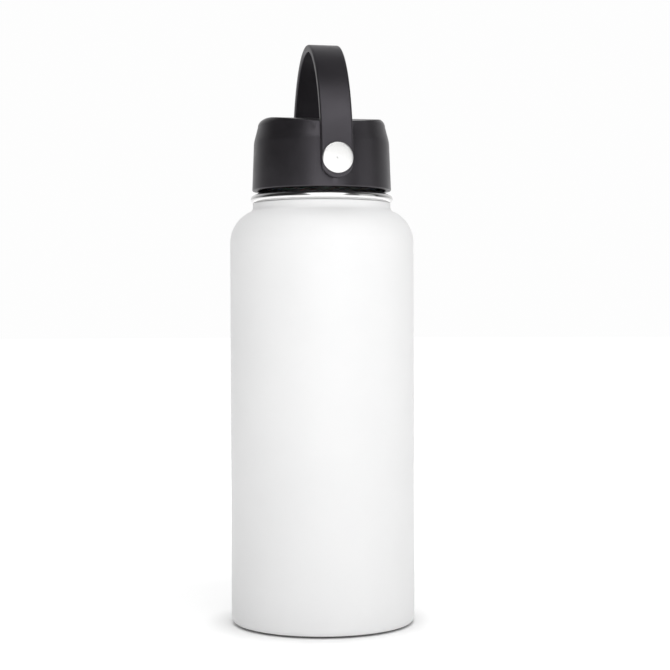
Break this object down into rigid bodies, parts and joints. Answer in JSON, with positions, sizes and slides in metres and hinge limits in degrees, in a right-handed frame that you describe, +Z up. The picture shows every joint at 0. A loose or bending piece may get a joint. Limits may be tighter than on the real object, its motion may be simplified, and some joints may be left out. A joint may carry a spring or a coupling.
{
  "type": "insulated water bottle",
  "caption": "Double-walled steel water bottle with a wide mouth, a screw lid with an insulated plug and a swinging carry strap.",
  "frame": {"origin": "centre of the base, on the surface that the bottle stands on", "axes": "+Z up along the bottle's axis, Y along the axis that the strap swings about"},
  "size_m": [0.09, 0.09, 0.2832],
  "materials": {
    "powder_coat": "satin",
    "polished_steel": "polished",
    "brushed_steel": "satin",
    "lid_plastic": "satin",
    "plug_plastic": "satin",
    "strap_rubber": "satin",
    "gasket_rubber": "matte",
    "foam": "matte",
    "copper_foil": "satin",
    "brass": "satin",
    "nylon": "matte",
    "glass_solder": "matte"
  },
  "bodies": {
    "bottle": {"outer_shell": "powder_coat", "base_plate": "brushed_steel", "base_disc": "brushed_steel", "vacuum_seal": "glass_solder", "vacuum_getter": "brushed_steel", "inner_liner": "brushed_steel", "liner_base": "brushed_steel", "liner_foil": "copper_foil", "mouth_collar": "polished_steel"},
    "lid_seal": {"lid_gasket": "gasket_rubber"},
    "lid": {"lid_shell": "lid_plastic", "plug_sleeve": "plug_plastic", "plug_foam": "foam", "plug_cover": "plug_plastic", "pivot_insert_front": "brass", "pivot_insert_back": "brass", "pivot_screw_front": "brushed_steel", "pivot_screw_back": "brushed_steel", "pivot_washer_front": "nylon", "pivot_washer_back": "nylon", "button_cap_front": "brushed_steel", "button_cap_back": "brushed_steel"},
    "carry_strap": {"strap": "strap_rubber", "strap_bush_front": "brushed_steel", "strap_bush_back": "brushed_steel"}
  },
  "joints": [
    {"name": "lid_rise", "type": "slide", "parent": "bottle", "child": "lid_seal", "axis": [0, 0, 1], "range_m": [0, 0.0241]},
    {"name": "lid_turn", "type": "hinge", "parent": "lid_seal", "child": "lid", "pos_m": [0, 0, 0.2165], "axis": [0, 0, 1], "range_deg": [0, 1080]},
    {"name": "strap_swing", "type": "hinge", "parent": "lid", "child": "carry_strap", "pos_m": [0, 0, 0.2249], "axis": [0, 1, 0], "range_deg": [-110, 110]}
  ],
  "couplings": [
    {"joint": "lid_rise", "follows": "lid_turn", "m_per_rad": 0.0012732}
  ]
}
